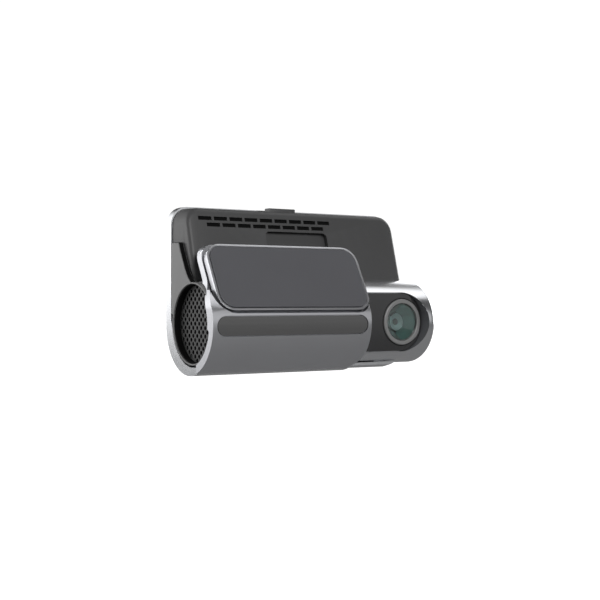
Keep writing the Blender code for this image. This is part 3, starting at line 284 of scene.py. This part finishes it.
def eased(node, name, width, material, segments=3, angle=28, joined=True):
    """A finished moulding in a CAD piece's place: the same faces, joined flat, with its edges eased."""
    mesh = frame["nodes"][node].data.copy()
    mesh.name = name
    bm = bmesh.new()
    bm.from_mesh(mesh)
    bmesh.ops.remove_doubles(bm, verts=bm.verts, dist=4e-6)
    if joined:
        bmesh.ops.dissolve_limit(bm, angle_limit=radians(0.6), verts=bm.verts, edges=bm.edges)
    bmesh.ops.recalc_face_normals(bm, faces=bm.faces)
    bm.to_mesh(mesh)
    bm.free()
    if "custom_normal" in mesh.attributes:
        mesh.attributes.remove(mesh.attributes["custom_normal"])
    mesh.materials.clear()
    mesh.materials.append(material)
    piece = bpy.data.objects.new(name, mesh)
    scene.collection.objects.link(piece)
    if width:
        ease = piece.modifiers.new("eased_edges", "BEVEL")
        ease.width = width
        ease.segments = segments
        ease.limit_method = "ANGLE"
        ease.angle_limit = radians(angle)
        ease.miter_outer = "MITER_ARC"
        ease.harden_normals = False
    mesh.shade_smooth()
    mesh.set_sharp_from_angle(angle=radians(angle))
    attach(piece, BODY_OF[node])
    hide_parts(node)
    return piece


def repaint(node, material):
    """A new finish on a CAD piece that keeps its own mesh."""
    piece = frame["nodes"][node]
    piece.data.materials.clear()
    piece.data.materials.append(material)


satin_silver = finish("satin_silver_coat", (0.72, 0.73, 0.75), 0.22, 1.0, grain=0.12 * MM, relief=0.05, shift=0.03)
eased("rear_shell", "rear_shell_moulding", 0.45 * MM, satin_silver)


# Display: a dark sheet of glass bonded into the shell's rebate, with the switched-off panel behind it.
screen = finish(
    "dark_screen_glass", (0.006, 0.007, 0.009), 0.06, grain=2 * MM, relief=0.0, shift=0.1, rub=0.0, coat=0.6
)
eased("screen_glass", "display_glass", 0.2 * MM, screen, 2)
repaint("display_panel", finish("panel_back", (0.03, 0.03, 0.035), 0.4, 0.2))


# Wedge housing and its recessed service panel: black plastic from a spark-eroded mould.
MOULD_GRAIN = 0.22 * MM
MOULD_RELIEF = 0.28
black = finish(
    "black_moulding", (0.052, 0.052, 0.053), 0.48,
    grain=MOULD_GRAIN, relief=MOULD_RELIEF, shift=0.08, rub=0.35, rubbed=1.8,
)
eased("main_housing", "wedge_housing", 0.0, black, joined=False)
panel_black = finish(
    "panel_moulding", (0.047, 0.047, 0.048), 0.5, grain=MOULD_GRAIN, relief=MOULD_RELIEF, shift=0.08
)
eased("service_panel", "service_panel_moulding", 0.25 * MM, panel_black, 2)
eased("top_button", "top_button_cap", 0.0, black)


# Vent shade: a black matt sheet across the inside of the vents, painted shade seen through the slots.
def front_of(node, x, z):
    """Y of the first face that a level line from the road meets on a CAD piece."""
    tree = BVHTree.FromPolygons(
        [v.co for v in frame["nodes"][node].data.vertices],
        [tuple(p.vertices) for p in frame["nodes"][node].data.polygons],
    )
    return tree.ray_cast(Vector((x, -1, z)), Vector((0, 1, 0)))[0].y


SHADE_SHEET_DEPTH = 0.7 * MM
SHADE_SHEET_THICK = 0.25 * MM
SHADE_SHEET_EDGE = 0.8 * MM
SHADE_SHEET_COLUMNS = 48
SHADE_SHEET_ROWS = 6
VENTS_START = -28.55 * MM
VENTS_END = 33.35 * MM
VENTS_LOW = 19.75 * MM
VENTS_TOP = 23.75 * MM
bm = bmesh.new()
corners = []
for z in (VENTS_LOW - SHADE_SHEET_EDGE, VENTS_TOP + SHADE_SHEET_EDGE):
    y = front_of("main_housing", VENTS_START - 2 * SHADE_SHEET_EDGE, z) + SHADE_SHEET_DEPTH
    corners.append([Vector((x, y, z)) for x in (VENTS_START - SHADE_SHEET_EDGE, VENTS_END + SHADE_SHEET_EDGE)])
grid = []
for row in range(SHADE_SHEET_ROWS + 1):
    left = corners[0][0].lerp(corners[1][0], row / SHADE_SHEET_ROWS)
    right = corners[0][1].lerp(corners[1][1], row / SHADE_SHEET_ROWS)
    grid.append([bm.verts.new(left.lerp(right, column / SHADE_SHEET_COLUMNS)) for column in range(SHADE_SHEET_COLUMNS + 1)])
for low_row, high_row in zip(grid, grid[1:]):
    for column in range(SHADE_SHEET_COLUMNS):
        bm.faces.new((low_row[column], low_row[column + 1], high_row[column + 1], high_row[column]))
vent_shade_mesh = bpy.data.meshes.new("vent_painted_shade")
bm.to_mesh(vent_shade_mesh)
bm.free()
vent_shade_mesh.materials.append(matt_black("vent_shade_black", 0.25 * MM, 0.5))
vent_shade_sheet = bpy.data.objects.new("vent_painted_shade", vent_shade_mesh)
scene.collection.objects.link(vent_shade_sheet)
backing = vent_shade_sheet.modifiers.new("thickness", "SOLIDIFY")
backing.thickness = SHADE_SHEET_THICK
backing.offset = 0.0
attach(vent_shade_sheet, "camera")


# Speaker end: a satin grey cheek that runs into the speaker's rim.
cheek_grey = finish("cheek_moulding", (0.16, 0.16, 0.16), 0.45, grain=0.2 * MM, relief=0.15, shift=0.05)
eased("left_end_cap", "cheek_and_rim", 0.3 * MM, cheek_grey)


# Cheek edge shade: a black matt strip down the cheek's front edge, where it stands proud of the housing; painted
# shade for the shadow beside that edge.
def long_strip(name, sections, material, body):
    """A moulded strip through a row of four-cornered sections, closed at both ends."""
    bm = bmesh.new()
    loops = [[bm.verts.new(corner) for corner in section] for section in sections]
    for one, two in zip(loops, loops[1:]):
        for i in range(4):
            bm.faces.new((one[i - 1], one[i], two[i], two[i - 1]))
    bm.faces.new(loops[0])
    bm.faces.new(loops[-1])
    bmesh.ops.recalc_face_normals(bm, faces=bm.faces)
    mesh = bpy.data.meshes.new(name)
    bm.to_mesh(mesh)
    bm.free()
    mesh.materials.append(material)
    strip = bpy.data.objects.new(name, mesh)
    scene.collection.objects.link(strip)
    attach(strip, body)
    return strip


SHADE_STRIP_THICK = 0.3 * MM
SHADE_STRIP_SET_BACK = 0.75 * MM
SHADE_STRIP_REACH = 2.4 * MM
RIM_CLEAR = 1.2 * MM
cheek_mesh = frame["nodes"]["left_end_cap"].data
low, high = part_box("left_end_cap")
mesh_low, mesh_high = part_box("speaker_mesh")
edge_points = {}
for face in cheek_mesh.polygons:
    if face.normal.y < -0.3 and abs(face.normal.x) < 0.1 and face.center.z > mesh_high.z + RIM_CLEAR:
        for index in face.vertices:
            point = cheek_mesh.vertices[index].co
            edge_points[round(point.z, 5)] = point.y
run = [Vector((0, y, z)) for z, y in sorted(edge_points.items())]
sections = []
for i, point in enumerate(run):
    along = run[min(i + 1, len(run) - 1)] - run[max(i - 1, 0)]
    out = Vector((0, -along.z, along.y)).normalized() * SHADE_STRIP_THICK
    left, right = (point + Vector((low.x + x, 0, 0)) for x in (SHADE_STRIP_SET_BACK, SHADE_STRIP_REACH))
    sections.append((left, left + out, right + out, right))
# Near-black matt material for the painted shade pieces: cheek edge, speaker recess wall and lens ring gap.
painted_shade_black = matt_black("painted_shade_black", 0.2 * MM, 0.3)
long_strip("cheek_edge_painted_shade", sections, painted_shade_black, "camera")


def turned_ring(name, profile, centre, axis, material, body, sides=96):
    """A closed section of (radius, distance along the axis) turned round an axis through a centre."""
    bm = bmesh.new()
    rings = []
    for i in range(sides):
        turn = 2 * pi * i / sides
        rings.append([bm.verts.new((radius * cos(turn), radius * sin(turn), along)) for radius, along in profile])
    for one, two in zip(rings, rings[1:] + rings[:1]):
        for i in range(len(profile)):
            bm.faces.new((one[i - 1], one[i], two[i], two[i - 1]))
    bmesh.ops.recalc_face_normals(bm, faces=bm.faces)
    mesh = bpy.data.meshes.new(name)
    bm.to_mesh(mesh)
    bm.free()
    mesh.transform(Matrix.Translation(centre) @ Vector(axis).to_track_quat("Z", "Y").to_matrix().to_4x4())
    mesh.materials.append(material)
    mesh.shade_smooth()
    mesh.set_sharp_from_angle(angle=radians(30))
    piece = bpy.data.objects.new(name, mesh)
    scene.collection.objects.link(piece)
    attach(piece, body)
    return piece


# Speaker recess: a black band lines the wall between the rim and the grille, painted shade for the recess wall.
RECESS_SHADE_THICK = 0.3 * MM
RECESS_SHADE_GAP = 0.02 * MM
RECESS_SHADE_SUNK = 0.6 * MM
RECESS_SHADE_BEVEL = 0.2 * MM
BORE_STEP = 0.32 * MM
grille_centre = (mesh_low + mesh_high) / 2
bore = (mesh_high.y - mesh_low.y) / 2 - BORE_STEP
mouth = low.x - mesh_low.x + RECESS_SHADE_SUNK
recess_shade_profile = [
    (bore, mouth),
    (bore, -RECESS_SHADE_GAP),
    (bore - RECESS_SHADE_THICK, -RECESS_SHADE_GAP),
    (bore - RECESS_SHADE_THICK, mouth + RECESS_SHADE_BEVEL),
]
recess_place = (mesh_low.x, grille_centre.y, grille_centre.z)
turned_ring("recess_painted_shade", recess_shade_profile, recess_place, (1, 0, 0), painted_shade_black, "camera")


# Speaker grille: sheet steel punched with a staggered pattern of round holes and painted dark.
# The holes run nearly out to the rim; the cone and basket behind it are black.
GRILLE_THICK = 0.4 * MM
HOLE_PITCH = 2.2 * MM
HOLE_RADIUS = 0.86 * MM
BORDER = 0.3 * MM
grille_radius = (mesh_high.y - mesh_low.y) / 2


def ring_points(centre, radius, count):
    turns = [2 * pi * i / count for i in range(count)]
    return [(centre[0] + radius * cos(turn), centre[1] + radius * sin(turn)) for turn in turns]


def punched_sheet(name, radius, thick, pitch, hole, border):
    """A disc with a diagonal lattice of holes, from a flat curve with one loop for each hole."""
    curve = bpy.data.curves.new(name, "CURVE")
    curve.dimensions = "2D"
    curve.fill_mode = "BOTH"
    curve.extrude = thick / 2 / MM
    loops = [ring_points((0, 0), radius / MM, 96)]
    reach = int(radius / pitch * 1.5)
    step = pitch / MM * 0.5**0.5
    for row in range(-2 * reach, 2 * reach + 1):
        for column in range(-reach, reach + 1):
            centre = ((2 * column + row % 2) * step, row * step)
            if (centre[0] ** 2 + centre[1] ** 2) ** 0.5 < (radius - border - hole) / MM:
                loops.append(ring_points(centre, hole / MM, 12))
    for loop in loops:
        spline = curve.splines.new("POLY")
        spline.points.add(len(loop) - 1)
        for point, (x, y) in zip(spline.points, loop):
            point.co = (x, y, 0, 1)
        spline.use_cyclic_u = True
    guide = bpy.data.objects.new(name, curve)
    scene.collection.objects.link(guide)
    graph = bpy.context.evaluated_depsgraph_get()
    mesh = bpy.data.meshes.new_from_object(guide.evaluated_get(graph))
    bpy.data.objects.remove(guide)
    mesh.transform(Matrix.Scale(MM, 4))
    bm = bmesh.new()
    bm.from_mesh(mesh)
    bmesh.ops.remove_doubles(bm, verts=bm.verts, dist=1e-6)
    bmesh.ops.recalc_face_normals(bm, faces=bm.faces)
    bm.to_mesh(mesh)
    bm.free()
    return mesh


grille_mesh = punched_sheet("speaker_grille", grille_radius, GRILLE_THICK, HOLE_PITCH, HOLE_RADIUS, BORDER)
grille_mesh.transform(Matrix.Translation(grille_centre) @ Matrix.Rotation(pi / 2, 4, "Y"))
grille_paint = finish(
    "grille_paint", (0.045, 0.045, 0.045), 0.42, 0.3, grain=0.15 * MM, relief=0.1, rub=0.5, rubbed=2.0
)
grille_mesh.materials.append(grille_paint)
grille = bpy.data.objects.new("speaker_grille", grille_mesh)
scene.collection.objects.link(grille)
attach(grille, "camera")
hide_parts("speaker_mesh")
cone_black = matt_black("cone_paper", 0.4 * MM, 0.4)
for node in ("speaker_basket", "speaker_cone"):
    repaint(node, cone_black)


# Front cover and mount plate: cast metal, blasted fine and anodised grey; their edges reflect brightest.
anodised = finish(
    "grey_anodising", (0.56, 0.565, 0.59), 0.33, 1.0, grain=0.1 * MM, relief=0.06, shift=0.03, rub=0.25, rubbed=1.2
)
eased("front_cover", "front_cover_casting", 0.4 * MM, anodised)
eased("mount_plate", "mount_plate_casting", 0.0, anodised)

# Label strip: a thin curved inlay of dark satin film, left blank.
strip_film = finish(
    "strip_film", (0.088, 0.088, 0.088), 0.36, grain=0.15 * MM, relief=0.06, shift=0.04, rub=0.2
)
eased("label_strip", "label_strip_inlay", 0.12 * MM, strip_film, 2)

# Adhesive pad: smooth foam tape, still under its grey film.
pad_film = finish(
    "pad_film", (0.105, 0.106, 0.116), 0.42, 0.25, grain=0.5 * MM, relief=0.05, shift=0.03, rub=0.0
)
eased("adhesive_pad", "adhesive_pad_film", 0.15 * MM, pad_film, 2)


# Lens barrel: the same silver coat on a round moulding with one flat, which carries a gloss black window.
barrel = eased("barrel_shell", "barrel_moulding", 0.3 * MM, satin_silver, angle=32)
wall_paint = finish("recess_paint", (0.14, 0.145, 0.155), 0.5, grain=0.2 * MM, relief=0.1, rub=0.0)
barrel.data.materials.append(wall_paint)
barrel_low, barrel_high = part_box("barrel_shell")
window_low, window_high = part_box("lens_window")
axis_y, axis_z = (barrel_low.y + barrel_high.y) / 2, (barrel_low.z + barrel_high.z) / 2
barrel_radius = (barrel_high.z - barrel_low.z) / 2
WALL_DEPTH = 0.6 * MM
SKIN_MARGIN = 0.05 * MM
for face in barrel.data.polygons:
    # Only the walls of the window's recess: upright, turned to the lens, and inside the barrel's outer skin.
    out = Vector((0, face.center.y - axis_y, face.center.z - axis_z))
    upright = abs(face.normal.y) < 0.3
    by_window = face.center.x > window_low.x and face.center.y < window_high.y + WALL_DEPTH
    to_lens = face.normal.x < 0.05 and face.normal.dot(out) < 0.2 * out.length
    if upright and by_window and to_lens and out.length < barrel_radius - SKIN_MARGIN:
        face.material_index = 1
gloss_black = finish(
    "window_gloss", (0.022, 0.022, 0.023), 0.16, grain=1 * MM, relief=0.02, shift=0.05, rub=0.2, coat=0.4
)
eased("lens_window", "window_panel", 0.2 * MM, gloss_black, 2)
ring_finish = finish(
    "ring_anodising", (0.25, 0.25, 0.25), 0.42, 0.3, grain=0.1 * MM, relief=0.12, shift=0.04, rub=0.4
)
eased("lens_ring", "lens_ring_turning", 0.12 * MM, ring_finish, 2)

# Window surround: a dark moulded lip round the window's curved end. It closes the barrel behind its cut edge.
SURROUND_THICK = 0.5 * MM
WINDOW_GAP = 0.3 * MM
BARREL_SKIN = 1.3 * MM
LIP_SUNK = 0.35 * MM
LIP_STEPS = 48
ring_low, ring_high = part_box("lens_ring")
ring_centre = (ring_low + ring_high) / 2
reach = window_high.x - ring_centre.x + WINDOW_GAP
half_height = (window_high.z - window_low.z) / 2 + WINDOW_GAP
skin_radius = barrel_radius - BARREL_SKIN
lip_back = window_low.y + LIP_SUNK
sections = []
for i in range(-LIP_STEPS, LIP_STEPS + 1):
    turn = radians(90 * i / LIP_STEPS)
    front = axis_y - (skin_radius**2 - (half_height * sin(turn)) ** 2) ** 0.5
    if front > lip_back - LIP_SUNK:
        continue
    section = []
    for grow, y in ((0, front), (SURROUND_THICK, front), (SURROUND_THICK, lip_back), (0, lip_back)):
        section.append((ring_centre.x + (reach + grow) * cos(turn), y, axis_z + (half_height + grow) * sin(turn)))
    sections.append(section)
surround = long_strip("window_surround", sections, wall_paint, "barrel")
surround.data.shade_smooth()
surround.data.set_sharp_from_angle(angle=radians(30))

# Ring shade: a black ring in the gap between the grey ring and the window panel, painted shade for that gap.
ring_radius = (ring_high.x - ring_low.x) / 2
RING_SHADE_WIDTH = 0.32 * MM
RING_SHADE_DEPTH = 0.9 * MM
RING_SHADE_SUNK = 0.15 * MM
ring_shade_profile = [
    (ring_radius - RING_SHADE_WIDTH, 0),
    (ring_radius + RING_SHADE_WIDTH, 0),
    (ring_radius + RING_SHADE_WIDTH, RING_SHADE_DEPTH),
    (ring_radius - RING_SHADE_WIDTH, RING_SHADE_DEPTH),
]
ring_shade_place = (ring_centre.x, window_low.y + RING_SHADE_SUNK, ring_centre.z)
turned_ring("ring_gap_painted_shade", ring_shade_profile, ring_shade_place, (0, 1, 0), painted_shade_black, "barrel")

# Lens hood: six flat facets that funnel in from the cover glass to the front lens, satin grey plastic
# whose barrel-end facets carry a painted teal reflection of the cover glass's coating.
FACETS = 6
FACET_TURN = 30
HOOD_WALL = 0.35 * MM
THROAT_CLEAR = 0.3 * MM
HOOD_SIDES = 96
hood_low, hood_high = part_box("lens_hood")
element_low, element_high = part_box("front_element")
hood_centre = (hood_low + hood_high) / 2
mouth = (hood_high.x - hood_low.x) / 2
throat = (element_high.x - element_low.x) / 2 + THROAT_CLEAR
bm = bmesh.new()
rings = [[], [], [], []]
for i in range(HOOD_SIDES):
    turn = 2 * pi * i / HOOD_SIDES
    from_corner = (turn - radians(FACET_TURN)) % (2 * pi / FACETS)
    flat = throat / cos(from_corner - pi / FACETS)
    outline = (
        (mouth, hood_low.y),
        (flat, hood_high.y - HOOD_WALL),
        (flat + HOOD_WALL, hood_high.y),
        (mouth, hood_low.y + HOOD_WALL),
    )
    for ring, (radius, y) in zip(rings, outline):
        ring.append(bm.verts.new((hood_centre.x + radius * cos(turn), y, hood_centre.z + radius * sin(turn))))
for one, two in zip(rings, rings[1:] + rings[:1]):
    for i in range(HOOD_SIDES):
        bm.faces.new((one[i - 1], one[i], two[i], two[i - 1]))
bmesh.ops.recalc_face_normals(bm, faces=bm.faces)
hood_mesh = bpy.data.meshes.new("faceted_hood")
bm.to_mesh(hood_mesh)
bm.free()
REFLECTION_BLEND = 0.02
hood_grey_and_painted_reflection = finish("hood_grey_and_painted_reflection", (0.16, 0.165, 0.165), 0.3, 0.2, grain=0.3 * MM, relief=0.05, coat=0.3)
tree = hood_grey_and_painted_reflection.node_tree
shader = tree.nodes["Principled BSDF"]
plain = shader.inputs["Base Color"].links[0].from_socket
facing = new_node(tree, "TexCoord")
apart = new_node(tree, "SeparateXYZ")
tree.links.new(facing.outputs["Normal"], apart.inputs["Vector"])
side = new_node(tree, "MapRange")
side.inputs["From Min"].default_value = REFLECTION_BLEND
side.inputs["From Max"].default_value = -REFLECTION_BLEND
tree.links.new(apart.outputs["X"], side.inputs["Value"])
painted_reflection_mix = new_node(tree, "MixRGB")
# Painted reflection: facets facing -X turn teal, in place of the cover glass coating's reflection.
painted_reflection_mix.inputs["Color2"].default_value = (0.10, 0.19, 0.175, 1)
tree.links.new(side.outputs["Result"], painted_reflection_mix.inputs["Fac"])
tree.links.new(plain, painted_reflection_mix.inputs["Color1"])
tree.links.new(painted_reflection_mix.outputs["Color"], shader.inputs["Base Color"])
hood_mesh.materials.append(hood_grey_and_painted_reflection)
hood = bpy.data.objects.new("faceted_hood", hood_mesh)
scene.collection.objects.link(hood)
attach(hood, "barrel")
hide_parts("lens_hood")

# Aperture ring: a pale anodised washer behind the front lens, with the pupil in its middle.
PUPIL = 1.25 * MM
WASHER_RADIUS = 3.45 * MM
WASHER_THICK = 0.3 * MM
WASHER_DISH = 0.1 * MM
WASHER_GAP = 0.06 * MM
pale = finish("aperture_anodising", (0.42, 0.42, 0.43), 0.4, 0.4, grain=0.1 * MM, relief=0.1)
washer = [(PUPIL, WASHER_DISH), (WASHER_RADIUS, 0), (WASHER_RADIUS, WASHER_THICK), (PUPIL, WASHER_THICK)]
washer_place = (hood_centre.x, element_high.y + WASHER_GAP, hood_centre.z)
turned_ring("aperture_ring", washer, washer_place, (0, 1, 0), pale, "barrel", 48)


# Glass: a thin coated cover and the small domed front lens, with black lens parts behind them.
def clear_glass(name, tint):
    material = bpy.data.materials.new(name)
    material.use_nodes = True
    shader = material.node_tree.nodes["Principled BSDF"]
    shader.inputs["Base Color"].default_value = (*tint, 1)
    shader.inputs["Roughness"].default_value = 0.02
    shader.inputs["IOR"].default_value = 1.5
    shader.inputs["Transmission Weight"].default_value = 1.0
    return material


repaint("cover_glass", clear_glass("coated_cover_glass", (0.86, 0.97, 0.95)))
repaint("front_element", clear_glass("front_lens_glass", (0.80, 0.93, 0.92)))
lens_black = finish("lens_black", (0.02, 0.02, 0.02), 0.35, 0.1)
for node in ("lens_tube", "lens_holder", "image_sensor"):
    repaint(node, lens_black)


# Everything else inside or at the side: steel, boards, ceramic and sleeves.
plain_steel = finish("plain_steel", (0.55, 0.55, 0.56), 0.3, 1.0, grain=0.2 * MM, relief=0.05)
for node in (
    "pivot_shaft", "friction_washer", "shaft_clip", "processor_shield", "card_socket", "usb_c_port",
    "microphone", "speaker_magnet", "board_screw_1", "board_screw_2", "board_screw_3", "board_screw_4",
):
    repaint(node, plain_steel)
solder_mask = finish("solder_mask", (0.015, 0.075, 0.035), 0.35, grain=0.6 * MM, relief=0.3, shift=0.2, coat=0.4)
for node in ("main_board", "sensor_board"):
    repaint(node, solder_mask)
repaint("heat_sink", finish("sink_metal", (0.6, 0.61, 0.62), 0.4, 1.0))
repaint("gps_antenna", finish("antenna_ceramic", (0.55, 0.48, 0.36), 0.6, 0.0))
card_plastic = finish("card_plastic", (0.02, 0.02, 0.022), 0.4, 0.0)
for node in ("pivot_bulkhead", "button_switch", "microsd_card"):
    repaint(node, card_plastic)
sleeve = finish("shrink_sleeve", (0.03, 0.05, 0.12), 0.4, 0.0)
for node in ("supercapacitor_1", "supercapacitor_2"):
    repaint(node, sleeve)
